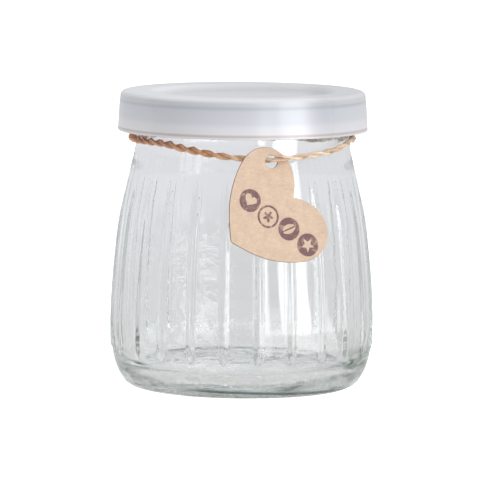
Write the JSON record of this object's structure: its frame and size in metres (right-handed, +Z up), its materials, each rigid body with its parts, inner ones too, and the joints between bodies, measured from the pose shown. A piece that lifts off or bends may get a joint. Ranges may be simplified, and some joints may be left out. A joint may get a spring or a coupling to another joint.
{
  "type": "lidded glass dessert jar",
  "caption": "Squat ribbed glass jar that tapers to a neck, with a press-on plastic lid, twine round the neck and a card heart tag.",
  "frame": {"origin": "centre of the glass's base, in the plane that it stands on", "axes": "+Z up along the jar's axis, -Y towards the front, where the tag hangs a little to +X"},
  "size_m": [0.07, 0.0743, 0.0786],
  "materials": {
    "clear_glass": "smooth clear glass",
    "lid_plastic": "frosted translucent plastic",
    "twine": "twisted jute, two plies",
    "tag_card": "uncoated kraft card"
  },
  "bodies": {
    "root": {"glass_jar": "clear_glass", "lid": "lid_plastic", "twine": "twine", "twine_knot": "twine", "tag": "tag_card"}
  },
  "joints": []
}
